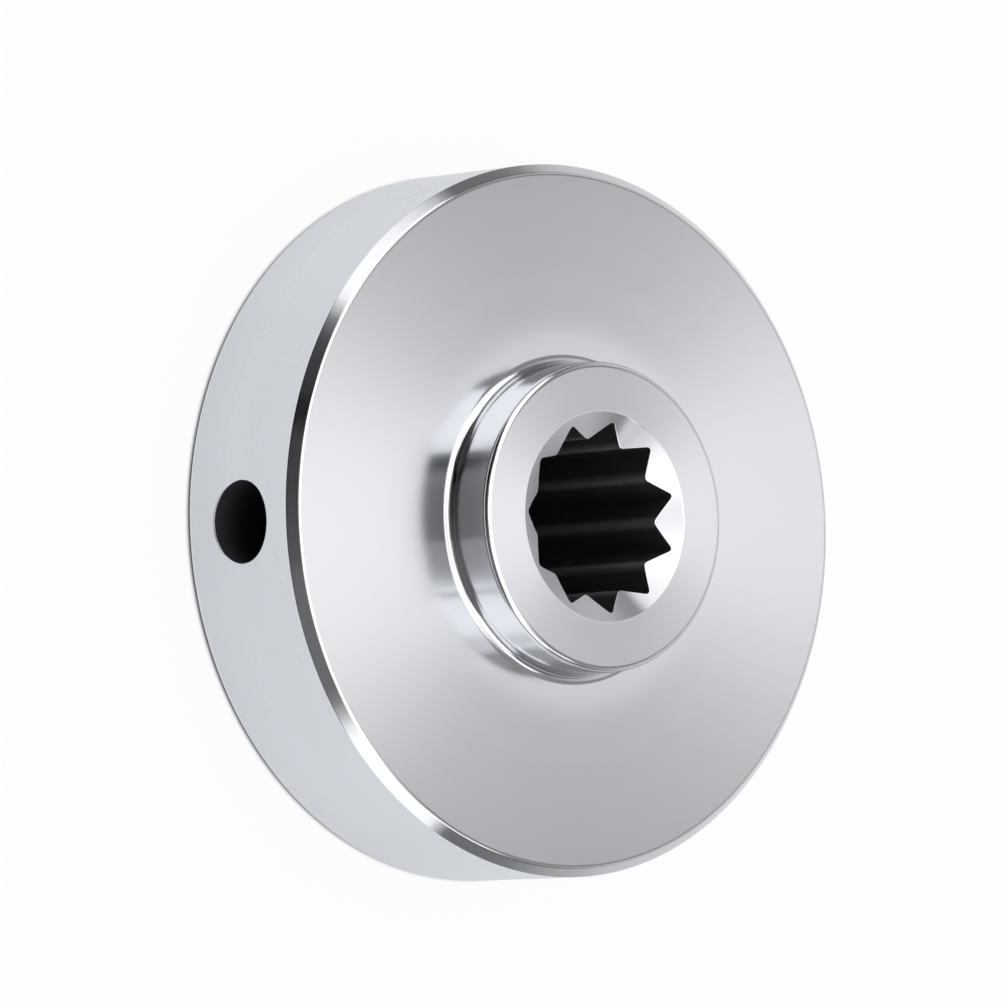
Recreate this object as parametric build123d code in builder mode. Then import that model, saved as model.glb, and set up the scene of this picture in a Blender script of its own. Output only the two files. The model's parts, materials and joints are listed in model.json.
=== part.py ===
"""Brush cutter nut adapter: a turned steel flange that drives the cutting blade.

Lengths are millimetres and angles are degrees. The axis of the part is Z. The
flange lies on its back face at z = 0, and the pilot for the blade points up.
"""
import math
import os

from build123d import *

os.makedirs("parts", exist_ok=True)

# Flange disc, with the seat for the blade on its upper face
flange_diameter = 58.5
flange_thickness = 13.5
rim_chamfer = 0.8
back_chamfer = 0.4

# Pilot that centres a blade with a 25.4 mm hole
pilot_diameter = 25.4
pilot_height = 4.5
pilot_root_radius = 0.8
pilot_chamfer = 0.3

# Serrated bore: triangular grooves, measured before their corners are rounded
groove_count = 11
groove_tip_diameter = 16.0
tooth_crest_diameter = 12.7
groove_tip_rounding = 0.35
tooth_crest_rounding = 0.5
first_groove_angle = -93.0

# Conical mouths where the grooves run out, cut a little past the tooth crests
mouth_diameter = 17.2
mouth_angle = 120.0
mouth_overcut = 0.5

# Relief turned into the back face, around the hub
relief_diameter = 40.0
hub_diameter = 26.0
relief_depth = 2.0
relief_chamfer = 0.3

# Blind hole in the rim for the locking pin
locking_hole_diameter = 6.7
locking_hole_height = 6.85
locking_hole_depth = 9.0
locking_hole_break = 0.15
drill_point_angle = 118.0

flange_radius = flange_diameter / 2
pilot_radius = pilot_diameter / 2
total_height = flange_thickness + pilot_height
mouth_radius = mouth_diameter / 2
mouth_slope = math.tan(math.radians(90.0 - mouth_angle / 2))
mouth_small_radius = tooth_crest_diameter / 2 - mouth_overcut
mouth_depth = (mouth_radius - mouth_small_radius) * mouth_slope
corner_step = 180.0 / groove_count


def groove_corner(index):
    """Corner of the serrated outline: even ones are groove tips, odd ones crests."""
    if index % 2 == 0:
        radius = groove_tip_diameter / 2
    else:
        radius = tooth_crest_diameter / 2
    angle = math.radians(first_groove_angle + index * corner_step)
    return (radius * math.cos(angle), radius * math.sin(angle))


with BuildPart() as nut_adapter:
    # Disc and pilot
    Cylinder(flange_radius, flange_thickness, align=(Align.CENTER, Align.CENTER, Align.MIN))
    chamfer(nut_adapter.edges().group_by(Axis.Z)[0], back_chamfer)
    chamfer(nut_adapter.edges().group_by(Axis.Z)[-1], rim_chamfer)
    with Locations((0, 0, flange_thickness)):
        Cylinder(pilot_radius, pilot_height, align=(Align.CENTER, Align.CENTER, Align.MIN))
    pilot_root = nut_adapter.edges().filter_by_position(Axis.Z, flange_thickness, flange_thickness)
    fillet(pilot_root.sort_by(SortBy.RADIUS)[0], pilot_root_radius)
    chamfer(nut_adapter.edges().group_by(Axis.Z)[-1], pilot_chamfer)

    # Relief in the back face
    with BuildSketch(Plane.XY):
        Circle(relief_diameter / 2)
        Circle(hub_diameter / 2, mode=Mode.SUBTRACT)
    extrude(amount=relief_depth, mode=Mode.SUBTRACT)
    back_rims = nut_adapter.edges().group_by(Axis.Z)[0].sort_by(SortBy.RADIUS)
    chamfer(back_rims[:2], relief_chamfer)

    # Serrated bore through the whole height
    with BuildSketch(Plane.XY) as serration:
        with BuildLine():
            Polyline([groove_corner(i) for i in range(2 * groove_count)], close=True)
        make_face()
        middle_radius = (groove_tip_diameter + tooth_crest_diameter) / 4
        groove_tips = [v for v in serration.vertices() if v.center().length > middle_radius]
        fillet(groove_tips, groove_tip_rounding)
        tooth_crests = [v for v in serration.vertices() if v.center().length < middle_radius]
        fillet(tooth_crests, tooth_crest_rounding)
    extrude(amount=total_height, mode=Mode.SUBTRACT)

    # Conical mouths at both ends of the bore
    with Locations((0, 0, total_height)):
        Cone(
            mouth_small_radius,
            mouth_radius,
            mouth_depth,
            align=(Align.CENTER, Align.CENTER, Align.MAX),
            mode=Mode.SUBTRACT,
        )
    Cone(
        mouth_radius,
        mouth_small_radius,
        mouth_depth,
        align=(Align.CENTER, Align.CENTER, Align.MIN),
        mode=Mode.SUBTRACT,
    )

    # Blind locking hole in the rim, drilled from the front
    rim_side = Plane(
        origin=(0, -flange_radius, locking_hole_height),
        x_dir=(1, 0, 0),
        z_dir=(0, -1, 0),
    )
    drill_radius = locking_hole_diameter / 2
    point_height = drill_radius / math.tan(math.radians(drill_point_angle / 2))
    with Locations(rim_side):
        Cylinder(
            drill_radius,
            locking_hole_depth,
            align=(Align.CENTER, Align.CENTER, Align.MAX),
            mode=Mode.SUBTRACT,
        )
    with Locations(rim_side.offset(-locking_hole_depth)):
        Cone(
            0,
            drill_radius,
            point_height,
            align=(Align.CENTER, Align.CENTER, Align.MAX),
            mode=Mode.SUBTRACT,
        )
    hole_mouth = nut_adapter.edges().filter_by(GeomType.BSPLINE).sort_by(Axis.Y)[0]
    chamfer(hole_mouth, locking_hole_break)

nut_adapter.part.label = "nut_adapter"
export_step(nut_adapter.part, "parts/nut_adapter.step")
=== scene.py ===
import json
import math

import bmesh
import bpy
from mathutils import Matrix, Quaternion, Vector


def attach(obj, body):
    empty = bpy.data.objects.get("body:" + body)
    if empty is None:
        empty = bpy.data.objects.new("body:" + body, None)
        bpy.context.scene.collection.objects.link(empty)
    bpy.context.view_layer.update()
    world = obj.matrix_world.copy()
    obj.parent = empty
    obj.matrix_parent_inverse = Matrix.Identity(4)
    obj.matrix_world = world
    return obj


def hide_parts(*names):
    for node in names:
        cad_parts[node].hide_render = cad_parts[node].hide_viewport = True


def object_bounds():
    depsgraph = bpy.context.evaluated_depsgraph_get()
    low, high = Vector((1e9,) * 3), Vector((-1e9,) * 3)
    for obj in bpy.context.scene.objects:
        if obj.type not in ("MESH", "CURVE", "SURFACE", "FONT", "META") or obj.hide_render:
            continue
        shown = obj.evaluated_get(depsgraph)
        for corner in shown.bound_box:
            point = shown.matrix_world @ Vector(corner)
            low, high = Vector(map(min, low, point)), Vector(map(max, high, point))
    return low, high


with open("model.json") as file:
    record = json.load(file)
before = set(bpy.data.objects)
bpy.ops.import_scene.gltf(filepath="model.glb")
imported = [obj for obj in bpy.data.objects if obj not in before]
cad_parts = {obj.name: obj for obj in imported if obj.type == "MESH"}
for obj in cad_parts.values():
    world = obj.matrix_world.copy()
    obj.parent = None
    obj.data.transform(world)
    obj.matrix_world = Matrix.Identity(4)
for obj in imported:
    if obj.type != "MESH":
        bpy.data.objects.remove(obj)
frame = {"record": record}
cad_low, cad_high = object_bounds()

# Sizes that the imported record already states, in metres
MM = 0.001
NODE = "nut_adapter"
MOUNTS = {mount["name"]: mount for mount in frame["record"]["mounts"]}
DISC_RADIUS = min(-cad_low.x, -cad_low.y, cad_high.x, cad_high.y)
TOTAL_HEIGHT = cad_high.z
FLANGE_HEIGHT = MOUNTS["blade_seat"]["pos_m"][2]
PILOT_RADIUS = MOUNTS["blade_pilot"]["dims"]["r_mm"] * MM
HOLE_RADIUS = MOUNTS["locking_hole"]["dims"]["r_mm"] * MM
HOLE_HEIGHT = MOUNTS["locking_hole"]["pos_m"][2]

# Turned form
RIM_CHAMFER = 0.8 * MM
BACK_CHAMFER = 0.4 * MM
ROOT_RADIUS = 0.8 * MM
PILOT_EDGE_RADIUS = 0.5 * MM
RELIEF_RADIUS = 20.0 * MM
HUB_RADIUS = 13.0 * MM
RELIEF_DEPTH = 2.0 * MM
RELIEF_CHAMFER = 0.3 * MM
BROKEN_EDGE = 0.08 * MM
SOFT_EDGE = 0.4 * MM
BACK_EDGE_RADIUS = 0.35 * MM
POCKET_CORNER = 0.2 * MM

# Splined bore
GROOVES = 11
GROOVE_TIP_RADIUS = 8.0 * MM
TOOTH_CREST_RADIUS = 6.35 * MM
GROOVE_TIP_ROUNDING = 0.35 * MM
TOOTH_CREST_ROUNDING = 0.5 * MM
FIRST_GROOVE_ANGLE = math.radians(-93.0)
MOUTH_RADIUS = 8.6 * MM
MOUTH_SLOPE = math.radians(30.0)

# Locking hole in the rim
HOLE_ANGLE = math.radians(-90.0)
HOLE_DEPTH = 9.0 * MM
HOLE_EDGE = 0.12 * MM
HOLE_WALL_STEPS = 4
DRILL_POINT_DEPTH = HOLE_RADIUS * math.tan(math.radians(31.0))
DRILL_TIP_SHARE = 0.1
HOLE_PATCH_HALF_ANGLE = math.radians(10.0)

# Mesh fineness
ARC_STEPS = 6
RIM_ROWS = 18
LONG_ROWS = 6
BACK_ROWS = 3
SHORT_ROWS = 2
EDGE_SUPPORT = 0.05 * MM
TIP_STEPS = 4
FLANK_STEPS = 6
CREST_STEPS = 6
HOLE_RINGS = 7


class Corner:
    """One corner of the turned section: its place and rounding, and the rows and finish after it."""

    def __init__(self, radius, height, rounding, rows_after=1, finish_after="edge"):
        self.place = Vector((radius, height))
        self.rounding = rounding
        self.rows_after = rows_after
        self.finish_after = finish_after


def groove_flank():
    """The straight flank between a groove's tip and a tooth's crest, and where its roundings end."""
    half_pitch = math.pi / GROOVES
    tip = Vector((GROOVE_TIP_RADIUS, 0.0))
    crest = Vector((math.cos(half_pitch), math.sin(half_pitch))) * TOOTH_CREST_RADIUS
    along = (crest - tip).normalized()
    normal = Vector((-along.y, along.x))
    if normal.dot(tip) < 0:
        normal = -normal
    distance = normal.dot(tip)
    normal_angle = math.atan2(normal.y, normal.x)
    tip_half_angle = math.acos(-along.x)
    crest_direction = crest.normalized()
    crest_half_angle = math.acos(-along.dot(crest_direction))
    tip_centre = GROOVE_TIP_RADIUS - GROOVE_TIP_ROUNDING / math.sin(tip_half_angle)
    crest_centre = TOOTH_CREST_RADIUS + TOOTH_CREST_ROUNDING / math.sin(crest_half_angle)
    tip_touch = Vector((tip_centre, 0.0)) + normal * GROOVE_TIP_ROUNDING
    crest_touch = crest_direction * crest_centre - normal * TOOTH_CREST_ROUNDING
    return {
        "half_pitch": half_pitch,
        "distance": distance,
        "normal_angle": normal_angle,
        "tip_centre": tip_centre,
        "crest_centre": crest_centre,
        "tip_end": math.atan2(tip_touch.y, tip_touch.x),
        "crest_start": math.atan2(crest_touch.y, crest_touch.x),
    }


FLANK = groove_flank()


def bore_radius(angle):
    """Radius of the splined bore in a direction, with its tips and crests rounded."""
    pitch = 2.0 * FLANK["half_pitch"]
    offset = abs((angle - FIRST_GROOVE_ANGLE + FLANK["half_pitch"]) % pitch - FLANK["half_pitch"])
    if offset < FLANK["tip_end"]:
        centre = FLANK["tip_centre"]
        return centre * math.cos(offset) + math.sqrt(
            GROOVE_TIP_ROUNDING**2 - (centre * math.sin(offset)) ** 2
        )
    if offset > FLANK["crest_start"]:
        centre = FLANK["crest_centre"]
        from_crest = FLANK["half_pitch"] - offset
        return centre * math.cos(from_crest) - math.sqrt(
            TOOTH_CREST_ROUNDING**2 - (centre * math.sin(from_crest)) ** 2
        )
    return FLANK["distance"] / math.cos(offset - FLANK["normal_angle"])


def column_angles():
    """Directions of the mesh's columns: close together at the grooves' tips and the teeth's crests."""
    tip_end = FLANK["tip_end"]
    crest_start = FLANK["crest_start"]
    half_pitch = FLANK["half_pitch"]
    half = [tip_end * i / TIP_STEPS for i in range(TIP_STEPS)]
    half += [tip_end + (crest_start - tip_end) * i / FLANK_STEPS for i in range(FLANK_STEPS)]
    half += [crest_start + (half_pitch - crest_start) * i / CREST_STEPS for i in range(CREST_STEPS)]
    groove = half + [2.0 * half_pitch - angle for angle in [half_pitch] + half[:0:-1]]
    return [
        FIRST_GROOVE_ANGLE + 2.0 * half_pitch * index + angle
        for index in range(GROOVES)
        for angle in groove
    ]


def section_corners(bore):
    """Corners of the turned section where the bore has this radius, from the back rim and round."""
    run_out = (MOUTH_RADIUS - bore) * math.tan(MOUTH_SLOPE)
    return [
        Corner(DISC_RADIUS - BACK_CHAMFER, 0.0, BROKEN_EDGE),
        Corner(DISC_RADIUS, BACK_CHAMFER, BACK_EDGE_RADIUS, RIM_ROWS, "rim"),
        Corner(DISC_RADIUS, FLANGE_HEIGHT - RIM_CHAMFER, BROKEN_EDGE, 1, "chamfer"),
        Corner(DISC_RADIUS - RIM_CHAMFER, FLANGE_HEIGHT, SOFT_EDGE, LONG_ROWS, "seat"),
        Corner(PILOT_RADIUS, FLANGE_HEIGHT, ROOT_RADIUS, SHORT_ROWS),
        Corner(PILOT_RADIUS, TOTAL_HEIGHT, PILOT_EDGE_RADIUS, SHORT_ROWS, "face"),
        Corner(MOUTH_RADIUS, TOTAL_HEIGHT, BROKEN_EDGE, 1, "mouth"),
        Corner(bore, TOTAL_HEIGHT - run_out, BROKEN_EDGE, LONG_ROWS, "bore"),
        Corner(bore, run_out, BROKEN_EDGE, 1, "mouth"),
        Corner(MOUTH_RADIUS, 0.0, BROKEN_EDGE, SHORT_ROWS, "face"),
        Corner(HUB_RADIUS - RELIEF_CHAMFER, 0.0, BROKEN_EDGE),
        Corner(HUB_RADIUS, RELIEF_CHAMFER, BROKEN_EDGE),
        Corner(HUB_RADIUS, RELIEF_DEPTH, POCKET_CORNER, SHORT_ROWS, "face"),
        Corner(RELIEF_RADIUS, RELIEF_DEPTH, POCKET_CORNER),
        Corner(RELIEF_RADIUS, RELIEF_CHAMFER, BROKEN_EDGE),
        Corner(RELIEF_RADIUS + RELIEF_CHAMFER, 0.0, BROKEN_EDGE, BACK_ROWS, "face"),
    ]


def rounded_corner(before, corner, after):
    """Points of one rounded corner of the section, with a close point on each side to hold the flats."""
    to_before = (before.place - corner.place).normalized()
    to_after = (after.place - corner.place).normalized()
    half_angle = to_before.angle(to_after) / 2.0
    reach = corner.rounding / math.tan(half_angle)
    centre = corner.place + (to_before + to_after).normalized() * corner.rounding / math.sin(half_angle)
    start = corner.place + to_before * reach
    end = corner.place + to_after * reach
    turn = (start - centre).angle_signed(end - centre)
    points = [start + to_before * EDGE_SUPPORT]
    for step in range(ARC_STEPS + 1):
        arm = start - centre
        arm.rotate(Matrix.Rotation(-turn * step / ARC_STEPS, 2))
        points.append(centre + arm)
    points.append(end + to_after * EDGE_SUPPORT)
    return points


def section(bore):
    """The closed section at one direction: the point and the finish of each row of the mesh."""
    corners = section_corners(bore)
    rows = []
    for index, corner in enumerate(corners):
        following = corners[(index + 1) % len(corners)]
        after_next = corners[(index + 2) % len(corners)]
        bend = rounded_corner(corners[index - 1], corner, following)
        rows += [(point, "edge") for point in bend[:-1]]
        rows.append((bend[-1], corner.finish_after))
        next_start = rounded_corner(corner, following, after_next)[0]
        for step in range(1, corner.rows_after):
            share = step / corner.rows_after
            rows.append((bend[-1].lerp(next_start, share), corner.finish_after))
    return rows


def from_hole(angle):
    """A column's direction, measured from the locking hole's direction."""
    return (angle - HOLE_ANGLE + math.pi) % (2.0 * math.pi) - math.pi


def on_rim(across, height, depth=0.0):
    """A point of the rim beside the locking hole, by its distance across and its height."""
    out = math.sqrt(DISC_RADIUS**2 - across**2) - depth
    return Vector((across, -out, height))


def hole_profile():
    """Rings of the hole down to its drill point: distance from its axis, depth below the rim, finish."""
    profile = [(HOLE_RADIUS + HOLE_EDGE + EDGE_SUPPORT, 0.0, "rim")]
    for step in range(ARC_STEPS + 1):
        turn = math.pi / 2.0 * step / ARC_STEPS
        distance = HOLE_RADIUS + HOLE_EDGE * (1.0 - math.sin(turn))
        depth = HOLE_EDGE * (1.0 - math.cos(turn))
        profile.append((distance, depth, "mouth" if step else "rim"))
    for step in range(1, HOLE_WALL_STEPS + 1):
        depth = HOLE_EDGE + (HOLE_DEPTH - HOLE_EDGE) * step / HOLE_WALL_STEPS
        profile.append((HOLE_RADIUS, depth, "hole"))
    near_point = HOLE_DEPTH + DRILL_POINT_DEPTH * (1.0 - DRILL_TIP_SHARE)
    profile.append((HOLE_RADIUS * DRILL_TIP_SHARE, near_point, "hole"))
    return profile


def add_hole(mesh, border, finishes):
    """Fills the gap that was left in the rim with a round hole, from the gap's border inwards."""
    places = [(vertex.co.x, vertex.co.z - HOLE_HEIGHT) for vertex in border]
    angles = [math.atan2(z, x) for x, z in places]
    edge_radius = HOLE_RADIUS + HOLE_EDGE
    rings = [border]
    kinds = []
    for ring in range(1, HOLE_RINGS + 1):
        share = ring / (HOLE_RINGS + 1)
        points = []
        for (x, z), angle in zip(places, angles):
            nearer_x = x + (edge_radius * math.cos(angle) - x) * share
            nearer_z = z + (edge_radius * math.sin(angle) - z) * share
            points.append(mesh.verts.new(on_rim(nearer_x, nearer_z + HOLE_HEIGHT)))
        rings.append(points)
        kinds.append("rim")
    for distance, depth, finish in hole_profile():
        flatness = min(1.0, max(0.0, (depth - HOLE_EDGE) / (HOLE_DEPTH - HOLE_EDGE)))
        ring = []
        for angle in angles:
            across = distance * math.cos(angle)
            height = distance * math.sin(angle) + HOLE_HEIGHT
            curved = on_rim(across, height, depth)
            flat = Vector((across, depth - DISC_RADIUS, height))
            ring.append(mesh.verts.new(curved.lerp(flat, flatness)))
        rings.append(ring)
        kinds.append(finish)
    for outer, inner, kind in zip(rings, rings[1:], kinds):
        for index in range(len(outer)):
            following = (index + 1) % len(outer)
            face = mesh.faces.new((outer[index], outer[following], inner[following], inner[index]))
            face.material_index = finishes.index(kind)
    apex = mesh.verts.new((0.0, HOLE_DEPTH + DRILL_POINT_DEPTH - DISC_RADIUS, HOLE_HEIGHT))
    last = rings[-1]
    for index in range(len(last)):
        face = mesh.faces.new((last[index], last[(index + 1) % len(last)], apex))
        face.material_index = finishes.index("hole")


def add_object(name, data):
    """A new object of the scene that shows this data."""
    thing = bpy.data.objects.new(name, data)
    bpy.context.scene.collection.objects.link(thing)
    return thing


def build_adapter(finishes):
    """The whole adapter as one closed mesh: a turned section carried round the splined bore."""
    angles = column_angles()
    kinds = [finish for _, finish in section(bore_radius(angles[0]))]
    mesh = bmesh.new()
    grid = []
    for angle in angles:
        grid.append(
            [
                mesh.verts.new((point.x * math.cos(angle), point.x * math.sin(angle), point.y))
                for point, _ in section(bore_radius(angle))
            ]
        )
    rim_rows = [row for row, finish in enumerate(kinds) if finish == "rim"]
    first_rim, last_rim = rim_rows[0], rim_rows[-1] + 1
    # The columns beside the locking hole, in order across it
    in_patch = [abs(from_hole(angle)) < HOLE_PATCH_HALF_ANGLE for angle in angles]
    patch_columns = [column for column in range(len(angles)) if in_patch[column]]
    patch_columns.sort(key=lambda column: from_hole(angles[column]))
    inner_columns = set(patch_columns[:-1])
    for column in range(len(angles)):
        following = (column + 1) % len(angles)
        for row in range(len(kinds)):
            if column in inner_columns and first_rim <= row < last_rim:
                continue
            above = (row + 1) % len(kinds)
            face = mesh.faces.new(
                (grid[column][row], grid[following][row], grid[following][above], grid[column][above])
            )
            face.material_index = finishes.index(kinds[row])
    border = [grid[column][first_rim] for column in patch_columns]
    border += [grid[patch_columns[-1]][row] for row in range(first_rim + 1, last_rim + 1)]
    border += [grid[column][last_rim] for column in reversed(patch_columns[:-1])]
    border += [grid[patch_columns[0]][row] for row in range(last_rim - 1, first_rim, -1)]
    add_hole(mesh, border, finishes)
    loose = [vertex for vertex in mesh.verts if not vertex.link_faces]
    bmesh.ops.delete(mesh, geom=loose, context="VERTS")
    bmesh.ops.recalc_face_normals(mesh, faces=mesh.faces)
    for face in mesh.faces:
        face.smooth = True
    data = bpy.data.meshes.new("adapter_body")
    mesh.to_mesh(data)
    mesh.free()
    return add_object("adapter_body", data)


class Nodes:
    """Short helpers that add and join shader nodes of one tree."""

    def __init__(self, tree):
        self.tree = tree
        tree.nodes.clear()

    def add(self, kind, **settings):
        node = self.tree.nodes.new(kind)
        for name, value in settings.items():
            setattr(node, name, value)
        return node

    def join(self, value, socket):
        if isinstance(value, bpy.types.NodeSocket):
            self.tree.links.new(value, socket)
        else:
            socket.default_value = value

    def math(self, operation, first, second=0.0, third=0.0):
        node = self.add("ShaderNodeMath", operation=operation)
        for value, socket in zip((first, second, third), node.inputs):
            self.join(value, socket)
        return node.outputs[0]

    def step(self, value, start, end, low=0.0, high=1.0):
        """A soft change from low where the value is at the start to high where it is at the end."""
        node = self.add("ShaderNodeMapRange", interpolation_type="SMOOTHSTEP")
        for number, socket in zip((value, start, end, low, high), node.inputs):
            self.join(number, socket)
        return node.outputs[0]

    def product(self, *factors):
        result = factors[0]
        for factor in factors[1:]:
            result = self.math("MULTIPLY", result, factor)
        return result

    def zone(self, *soft_edges):
        """The share of a light that lies within all of these soft edges, each with the value it cuts."""
        return self.product(*[self.step(value, *soft_edge) for value, soft_edge in soft_edges])

    def blend(self, share, first, second):
        """The first value where the share is 0, and the second where it is 1."""
        return self.math("MULTIPLY_ADD", share, self.math("SUBTRACT", second, first), first)

    def dimmed(self, light, share):
        """A light with this share of it taken away."""
        return self.product(light, self.math("SUBTRACT", 1.0, share))

    def away(self, value, middle):
        """How far a value lies from a middle, on either side."""
        return self.math("ABSOLUTE", self.math("SUBTRACT", value, middle))

    def vector(self, operation, first, second=(0.0, 0.0, 0.0)):
        node = self.add("ShaderNodeVectorMath", operation=operation)
        self.join(first, node.inputs[0])
        self.join(second, node.inputs[1])
        return node.outputs["Value"] if operation in ("DOT_PRODUCT", "LENGTH") else node.outputs[0]

    def noise(self, vector, scale, detail=2.0, roughness=0.5):
        node = self.add("ShaderNodeTexNoise")
        self.join(vector, node.inputs["Vector"])
        node.inputs["Scale"].default_value = scale
        node.inputs["Detail"].default_value = detail
        node.inputs["Roughness"].default_value = roughness
        return node.outputs["Fac"]

    def mix_colour(self, share, first, second):
        # The node keeps its colours in inputs 6 and 7 and in output 2, after those for numbers and vectors
        node = self.add("ShaderNodeMix", data_type="RGBA")
        self.join(share, node.inputs["Factor"])
        self.join(first, node.inputs[6])
        self.join(second, node.inputs[7])
        return node.outputs[2]

    def show(self, shader):
        """Makes this shader the surface of the material."""
        out = self.add("ShaderNodeOutputMaterial")
        self.join(shader.outputs[0], out.inputs[0])


def new_material(name):
    """A new material and the helpers for its nodes."""
    material = bpy.data.materials.new(name)
    material.use_nodes = True
    return material, Nodes(material.node_tree)


def scaled(colour, factor):
    """A colour made darker or lighter by this factor."""
    return tuple(factor * channel for channel in colour[:3]) + (1.0,)


# Turned steel
STEEL_COLOUR = (0.775, 0.785, 0.815, 1.0)
# The rim's bluer, slightly darker tint is a painted reflection: it sets the tone of the floor mirrored in
# the rim
RIM_PAINTED_REFLECTION_COLOUR = (0.755, 0.78, 0.825, 1.0)
WORN_SHARE = 0.965
ROUGHNESS_SPREAD = 0.06
FINE_RADIUS = 14.0 * MM
COARSE_RADIUS = 17.5 * MM
FACE_ROUGHNESS = 0.18
EDGE_ROUGHNESS = 0.1
SEAT_INNER_ROUGHNESS = 0.105
RIM_ROUGHNESS = 0.28
CHAMFER_ROUGHNESS = 0.13
MOUTH_ROUGHNESS = 0.25
MARKS_STRENGTH = 0.03
MARKS_DEPTH = 0.01 * MM
MARKS_SCALE = 5200.0
BANDS_SCALE = 420.0
SMUDGES_SCALE = 60.0
UNEVEN_RANGE = (0.25, 0.75)
TURNED_ANISOTROPY = 0.97
QUARTER_TURN = 0.25

# Dark steel of the bore and the locking hole: painted shade in these hollows, with a painted highlight on
# the bore's tooth crests
BORE_PAINTED_SHADE_COLOUR = (0.03, 0.03, 0.03, 1.0)
CREST_PAINTED_HIGHLIGHT_COLOUR = (0.2, 0.2, 0.203, 1.0)
# The locking hole's near-black colour is painted shade inside the hole
HOLE_PAINTED_SHADE_COLOUR = (0.04, 0.042, 0.045, 1.0)
BORE_ROUGHNESS = 0.5
HOLE_ROUGHNESS = 0.45
DARK_ROUGHNESS_SPREAD = 0.06
CREST_PAINTED_HIGHLIGHT_RADIUS = 6.8 * MM
STAIN_SHARE = 0.5
STAIN_GAIN = 1.6
STAIN_SCALE = 700.0
STAIN_RANGE = (0.3, 0.7)

# The upward direction, and the level directions together
UP = (0.0, 0.0, 1.0)
LEVEL = (1.0, 1.0, 0.0)


def distance_from_axis(nodes, place):
    """How far a place on the part lies from the part's axis."""
    return nodes.vector("LENGTH", nodes.vector("MULTIPLY", place, LEVEL))


def turned_steel(name, roughness, inner_roughness=None, colour=STEEL_COLOUR, marked=True):
    """Bright steel with its grain round the axis, smoother near it where an inner roughness is given."""
    material, nodes = new_material(name)
    place = nodes.add("ShaderNodeTexCoord").outputs["Object"]
    radius = distance_from_axis(nodes, place)
    rings = nodes.add("ShaderNodeCombineXYZ")
    nodes.join(radius, rings.inputs[0])
    nodes.join(nodes.vector("DOT_PRODUCT", place, UP), rings.inputs[1])
    bands = nodes.noise(rings.outputs[0], BANDS_SCALE)
    smudges = nodes.noise(place, SMUDGES_SCALE, detail=3.0, roughness=0.55)
    uneven = nodes.math("ADD", nodes.product(bands, 0.5), nodes.product(smudges, 0.5))
    shader = nodes.add("ShaderNodeBsdfPrincipled")
    shader.inputs["Metallic"].default_value = 1.0
    nodes.join(nodes.mix_colour(uneven, colour, scaled(colour, WORN_SHARE)), shader.inputs["Base Color"])
    if inner_roughness is not None:
        roughness = nodes.step(radius, FINE_RADIUS, COARSE_RADIUS, inner_roughness, roughness)
    spread = nodes.step(uneven, *UNEVEN_RANGE, 1.0 - ROUGHNESS_SPREAD, 1.0 + ROUGHNESS_SPREAD)
    nodes.join(nodes.product(spread, roughness), shader.inputs["Roughness"])
    shader.inputs["Anisotropic"].default_value = TURNED_ANISOTROPY
    shader.inputs["Anisotropic Rotation"].default_value = QUARTER_TURN
    around = nodes.add("ShaderNodeTangent", direction_type="RADIAL", axis="Z")
    nodes.join(around.outputs[0], shader.inputs["Tangent"])
    if marked:
        bump = nodes.add("ShaderNodeBump")
        bump.inputs["Strength"].default_value = MARKS_STRENGTH
        bump.inputs["Distance"].default_value = MARKS_DEPTH
        marks = nodes.noise(rings.outputs[0], MARKS_SCALE, detail=3.0, roughness=0.6)
        nodes.join(marks, bump.inputs["Height"])
        nodes.join(bump.outputs[0], shader.inputs["Normal"])
    nodes.show(shader)
    return material


def steel_with_painted_shade(name, colour, roughness, crest_painted_highlight=None):
    """Steel made near-black as painted shade and stained at random, with a lighter painted-highlight colour
    on the bore's teeth where one is given.
    """
    material, nodes = new_material(name)
    place = nodes.add("ShaderNodeTexCoord").outputs["Object"]
    stains = nodes.noise(place, STAIN_SCALE, detail=4.0, roughness=0.6)
    shader = nodes.add("ShaderNodeBsdfPrincipled")
    shader.inputs["Metallic"].default_value = 0.0
    # The dark base colour is painted shade, for the darkness inside the hollow
    base = colour
    if crest_painted_highlight is not None:
        # The crest colour is a painted highlight: the teeth's crests are lighter than the groove bottoms,
        # as if lit from the opening
        radius = distance_from_axis(nodes, place)
        crest = nodes.step(radius, TOOTH_CREST_RADIUS, CREST_PAINTED_HIGHLIGHT_RADIUS, 1.0, 0.0)
        base = nodes.mix_colour(crest, colour, crest_painted_highlight)
    stained = nodes.mix_colour(nodes.product(stains, STAIN_SHARE), base, scaled(colour, STAIN_GAIN))
    nodes.join(stained, shader.inputs["Base Color"])
    low, high = roughness - DARK_ROUGHNESS_SPREAD, roughness + DARK_ROUGHNESS_SPREAD
    nodes.join(nodes.step(stains, *STAIN_RANGE, low, high), shader.inputs["Roughness"])
    nodes.show(shader)
    return material


# Camera, as the photograph was taken
CAMERA_TARGET = Vector((-1.793, -3.487, 9.0)) * MM
CAMERA_DISTANCE = 714.26 * MM
CAMERA_AZIMUTH = math.radians(4.197)
CAMERA_ELEVATION = math.radians(49.339)
CAMERA_ROLL = math.radians(85.0886)
CAMERA_LENS = 313.47
SENSOR_WIDTH = 36.0


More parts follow.
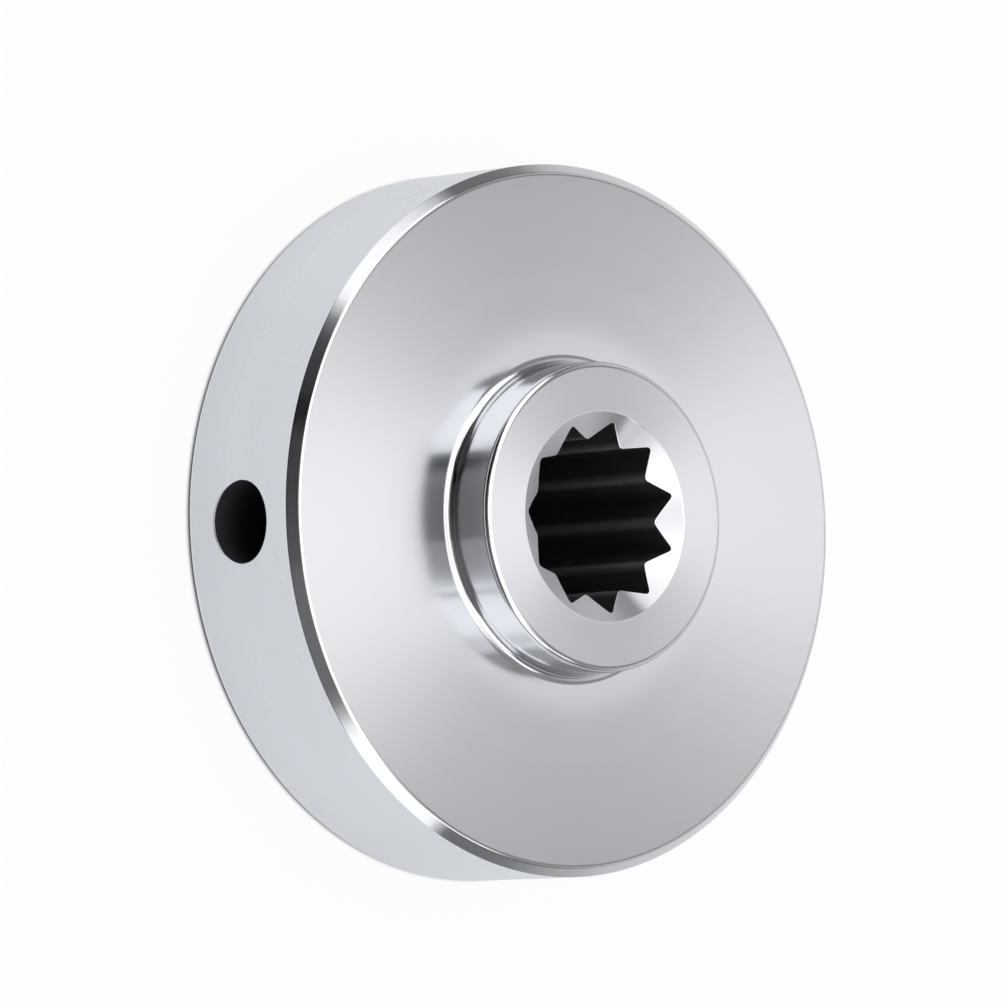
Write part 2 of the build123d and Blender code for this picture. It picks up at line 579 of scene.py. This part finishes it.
def place_camera():
    """The photograph's view: from the front and above, with the picture turned on its side."""
    data = bpy.data.cameras.new("camera")
    data.lens = CAMERA_LENS
    data.sensor_width = SENSOR_WIDTH
    data.sensor_fit = "HORIZONTAL"
    camera = add_object("camera", data)
    level = math.cos(CAMERA_ELEVATION)
    back = Vector(
        (
            level * math.sin(CAMERA_AZIMUTH),
            -level * math.cos(CAMERA_AZIMUTH),
            math.sin(CAMERA_ELEVATION),
        )
    )
    camera.location = CAMERA_TARGET + back * CAMERA_DISTANCE
    look = (-back).to_track_quat("-Z", "Y")
    camera.rotation_mode = "QUATERNION"
    camera.rotation_quaternion = look @ Quaternion((0.0, 0.0, 1.0), CAMERA_ROLL)
    bpy.context.scene.camera = camera


# Studio: a light tent that stands over the part, with a bright arch from side to side and a dim front
FRONT = Vector((math.sin(CAMERA_AZIMUTH), -math.cos(CAMERA_AZIMUTH), 0.0))
SIDE = Vector((math.cos(CAMERA_AZIMUTH), math.sin(CAMERA_AZIMUTH), 0.0))
TENT_RADIUS = 0.4
TENT_RINGS = 48
TENT_SEGMENTS = 96

# The brightness of the tent's lights
ARCH_LIGHT = 1.35
CROWN_LIGHT = 0.95
WINDOW_LIGHT = 0.69
PANEL_LIGHT = 1.3
BACK_LIGHT = 0.285
BACK_LOW_LIGHT = 0.65
BACK_LOW_SIDE_LIGHT = 0.16
HORIZON_RIGHT_LIGHT = 0.5

# Soft edges of the lights, cut across a direction's front, side or height: the start and the end of
# the edge, and the values before and after it where these are not 0 and 1
FRONT_EDGE = (-0.1, 0.25)
FRONT_LOW = (-0.3, 0.4, 0.03, 0.13)
FRONT_HIGH = (0.05, 0.12, 0.2, 0.4)
FRONT_HEIGHT = (0.66, 0.7)
BACK_HEIGHT = (0.45, 0.7)
BACK_LOW_EDGE = (0.6, 0.86)
HORIZON_HEIGHT = (0.1, 0.2)
HORIZON_RIGHT = (-0.2, 0.2)
ARCH_LEFT_REACH = (-0.75, -0.6, 0.04, 0.0)
ARCH_EDGE = (0.15, 0.25, 1.0, 0.0)
ARCH_FOOT = (0.16, 0.34)
BAR_EDGE = (0.008, 0.022, 0.18, 1.0)
DIMMER_FRONT = (0.0, 0.07, 0.4, 0.0)
DIMMER_SIDE = (0.3, 0.5)
CROWN_EDGE = (0.86, 0.96)
ZENITH_EDGE = (0.97, 0.99, 1.0, 0.38)
WINDOW_SIDES = (0.02, 0.16, 1.0, 0.0)
WINDOW_FRONT = (-0.35, -0.2, 1.0, 0.0)
WINDOW_HEIGHT = (0.36, 0.72)
PANEL_SIDE = (0.5, 0.62)
PANEL_BACK = (-0.4, -0.3)
PANEL_FRONT = (-0.1, 0.0, 1.0, 0.0)
PANEL_FOOT = (0.5, 0.6)
PANEL_TOP = (0.7, 0.74, 1.0, 0.0)
POST_FRONT = (0.25, 0.35)
POST_EDGE = (0.05, 0.06, 0.95, 0.0)

# Middle lines of the arch, of the dark bar across it and of the dark post
ARCH_PLANE = FRONT - SIDE * 0.15 + Vector((0.0, 0.0, 0.1))
ARCH_SHIFT = 0.14
ARCH_BEND = 0.05
ARCH_SPREAD = 0.2
BAR_SIDE = 0.482
POST_SIDE = -0.49


def front_light(nodes, side, height):
    """The dim side of the tent, round the camera: nearly black low down, grey above."""
    low = nodes.step(side, *FRONT_LOW)
    high = nodes.step(side, *FRONT_HIGH)
    return nodes.blend(nodes.step(height, *FRONT_HEIGHT), low, high)


def back_light(nodes, side, height):
    """The even back of the tent: brighter low down in the middle, and on the right at the horizon."""
    horizon = nodes.step(height, *HORIZON_HEIGHT, HORIZON_RIGHT_LIGHT, BACK_LOW_SIDE_LIGHT)
    low_side = nodes.blend(nodes.step(side, *HORIZON_RIGHT), BACK_LOW_SIDE_LIGHT, horizon)
    low = nodes.step(nodes.math("ABSOLUTE", side), *BACK_LOW_EDGE, BACK_LOW_LIGHT, low_side)
    return nodes.blend(nodes.step(height, *BACK_HEIGHT), low, BACK_LIGHT)


def arch_share(nodes, direction, front, side, height):
    """How much of the bright arch lies in a direction: it passes over the part from side to side."""
    along = nodes.vector("DOT_PRODUCT", direction, tuple(ARCH_PLANE))
    middle = nodes.math("MULTIPLY_ADD", nodes.math("ABSOLUTE", side), ARCH_BEND, ARCH_SHIFT)
    spread = nodes.math("MULTIPLY_ADD", height, ARCH_SPREAD, nodes.step(side, *ARCH_LEFT_REACH))
    beside_arch = nodes.math("SUBTRACT", nodes.away(along, middle), spread)
    beside_bar = nodes.away(side, BAR_SIDE)
    arch = nodes.zone((beside_arch, ARCH_EDGE), (height, ARCH_FOOT), (beside_bar, BAR_EDGE))
    return nodes.dimmed(arch, nodes.zone((front, DIMMER_FRONT), (side, DIMMER_SIDE)))


def tent_light(nodes, direction):
    """The studio's light as a function of direction, seen from the part."""
    front = nodes.vector("DOT_PRODUCT", direction, tuple(FRONT))
    side = nodes.vector("DOT_PRODUCT", direction, tuple(SIDE))
    height = nodes.vector("DOT_PRODUCT", direction, UP)
    back = back_light(nodes, side, height)
    room = nodes.blend(nodes.step(front, *FRONT_EDGE), back, front_light(nodes, side, height))
    light = nodes.blend(arch_share(nodes, direction, front, side, height), room, ARCH_LIGHT)
    light = nodes.math("MULTIPLY_ADD", nodes.step(height, *CROWN_EDGE), CROWN_LIGHT, light)
    light = nodes.product(light, nodes.step(height, *ZENITH_EDGE))
    post = nodes.zone((front, POST_FRONT), (nodes.away(side, POST_SIDE), POST_EDGE))
    light = nodes.dimmed(light, post)
    panel = nodes.zone(
        (side, PANEL_SIDE),
        (front, PANEL_BACK),
        (front, PANEL_FRONT),
        (height, PANEL_FOOT),
        (height, PANEL_TOP),
    )
    light = nodes.math("MULTIPLY_ADD", panel, PANEL_LIGHT, light)
    beside = nodes.math("ABSOLUTE", side)
    window = nodes.zone((beside, WINDOW_SIDES), (front, WINDOW_FRONT), (height, WINDOW_HEIGHT))
    return nodes.math("MULTIPLY_ADD", window, WINDOW_LIGHT, light)


def tent_material():
    """The tent's glow: inside it is the studio, and outside it is plain white."""
    material, nodes = new_material("tent_glow")
    place = nodes.add("ShaderNodeTexCoord").outputs["Object"]
    inside = tent_light(nodes, nodes.vector("NORMALIZE", place))
    outside = nodes.add("ShaderNodeNewGeometry").outputs["Backfacing"]
    glow = nodes.add("ShaderNodeEmission")
    nodes.join(nodes.blend(outside, inside, 1.0), glow.inputs["Strength"])
    nodes.show(glow)
    return material


def light_tent():
    """A half sphere that lights the part; the camera looks through it."""
    mesh = bmesh.new()
    turns = [2.0 * math.pi * segment / TENT_SEGMENTS for segment in range(TENT_SEGMENTS)]
    rings = []
    for ring in range(TENT_RINGS):
        tilt = math.pi / 2.0 * ring / TENT_RINGS
        level = TENT_RADIUS * math.cos(tilt)
        height = TENT_RADIUS * math.sin(tilt)
        places = [(level * math.cos(turn), level * math.sin(turn), height) for turn in turns]
        rings.append([mesh.verts.new(place) for place in places])
    crown = mesh.verts.new((0.0, 0.0, TENT_RADIUS))
    for segment in range(TENT_SEGMENTS):
        following = (segment + 1) % TENT_SEGMENTS
        for lower, upper in zip(rings, rings[1:]):
            mesh.faces.new((lower[following], lower[segment], upper[segment], upper[following]))
        mesh.faces.new((rings[-1][following], rings[-1][segment], crown))
    data = bpy.data.meshes.new("light_tent")
    mesh.to_mesh(data)
    mesh.free()
    glow = tent_material()
    glow.cycles.emission_sampling = "NONE"
    data.materials.append(glow)
    tent = add_object("light_tent", data)
    tent.visible_camera = False


def white_world():
    """Plain white behind the floor and round the tent."""
    world = bpy.data.worlds.new("white")
    world.use_nodes = True
    background = world.node_tree.nodes["Background"]
    background.inputs["Color"].default_value = (1.0, 1.0, 1.0, 1.0)
    background.inputs["Strength"].default_value = 1.0
    bpy.context.scene.world = world


# Floor: white, with painted shadow where the part covers it and a painted contact shadow just round its
# foot, and grey behind the part in its reflections
FLOOR_SIZE = 6.0
FLOOR_GAP = 0.02 * MM
FLOOR_COLOUR = (0.95, 0.955, 0.965, 1.0)
FLOOR_PAINTED_SHADOW_COLOUR = (0.02, 0.02, 0.02, 1.0)
FLOOR_WHITE_SEEN = 0.93
FLOOR_WHITE_MIRRORED = 0.7
FLOOR_FAR_SHARE = 0.9
FLOOR_FAR_GREY = 0.68
FLOOR_FAR = -60.0 * MM
FLOOR_NEAR = -30.0 * MM
PAINTED_CONTACT_SHADOW_REACH = 0.22 * MM


def studio_floor():
    """A plain white floor that keeps the part's soft shadow, with painted shadow where the part covers it
    and in a narrow ring round its foot.
    """
    data = bpy.data.meshes.new("floor")
    half = FLOOR_SIZE / 2.0
    corners = [(-half, -half), (half, -half), (half, half), (-half, half)]
    data.from_pydata([(x, y, -FLOOR_GAP) for x, y in corners], [], [(0, 1, 2, 3)])
    floor = add_object("floor", data)
    material, nodes = new_material("floor_white")
    place = nodes.add("ShaderNodeTexCoord").outputs["Object"]
    from_axis = nodes.vector("LENGTH", place)
    # Painted shadow: the floor is dark under the part and fades back to white in a narrow ring just outside
    # its rim
    outside_painted_shadow = nodes.step(from_axis, DISC_RADIUS - BACK_CHAMFER, DISC_RADIUS + PAINTED_CONTACT_SHADOW_REACH)
    paint = nodes.add("ShaderNodeBsdfDiffuse")
    nodes.join(nodes.mix_colour(outside_painted_shadow, FLOOR_PAINTED_SHADOW_COLOUR, FLOOR_COLOUR), paint.inputs["Color"])
    rays = nodes.add("ShaderNodeLightPath").outputs
    forward = nodes.vector("DOT_PRODUCT", place, tuple(FRONT))
    far = nodes.step(forward, FLOOR_FAR, FLOOR_NEAR, 1.0, 0.0)
    seen = nodes.product(rays["Is Camera Ray"], FLOOR_WHITE_SEEN)
    mirrored = nodes.product(rays["Is Glossy Ray"], nodes.blend(far, FLOOR_WHITE_MIRRORED, FLOOR_FAR_SHARE))
    white = nodes.add("ShaderNodeEmission")
    far_mirrored = nodes.product(rays["Is Glossy Ray"], far)
    nodes.join(nodes.blend(far_mirrored, 1.0, FLOOR_FAR_GREY), white.inputs["Strength"])
    floor_mix = nodes.add("ShaderNodeMixShader")
    nodes.join(nodes.product(nodes.math("MAXIMUM", seen, mirrored), outside_painted_shadow), floor_mix.inputs[0])
    nodes.join(paint.outputs[0], floor_mix.inputs[1])
    nodes.join(white.outputs[0], floor_mix.inputs[2])
    nodes.show(floor_mix)
    data.materials.append(material)
    material.cycles.emission_sampling = "NONE"


place_camera()
white_world()
light_tent()
studio_floor()

FINISHES = {
    "seat": turned_steel("steel_seat", FACE_ROUGHNESS, SEAT_INNER_ROUGHNESS),
    "face": turned_steel("steel_face", FACE_ROUGHNESS),
    "edge": turned_steel("steel_edge", EDGE_ROUGHNESS),
    "chamfer": turned_steel("steel_chamfer", CHAMFER_ROUGHNESS),
    "rim": turned_steel("steel_rim", RIM_ROUGHNESS, colour=RIM_PAINTED_REFLECTION_COLOUR, marked=False),
    "mouth": turned_steel("steel_mouth", MOUTH_ROUGHNESS),
    "bore": steel_with_painted_shade("steel_bore", BORE_PAINTED_SHADE_COLOUR, BORE_ROUGHNESS, CREST_PAINTED_HIGHLIGHT_COLOUR),
    "hole": steel_with_painted_shade("steel_hole", HOLE_PAINTED_SHADE_COLOUR, HOLE_ROUGHNESS),
}
adapter = build_adapter(list(FINISHES))
for material in FINISHES.values():
    adapter.data.materials.append(material)
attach(adapter, "root")
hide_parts(NODE)

bpy.context.scene.view_settings.view_transform = "Standard"
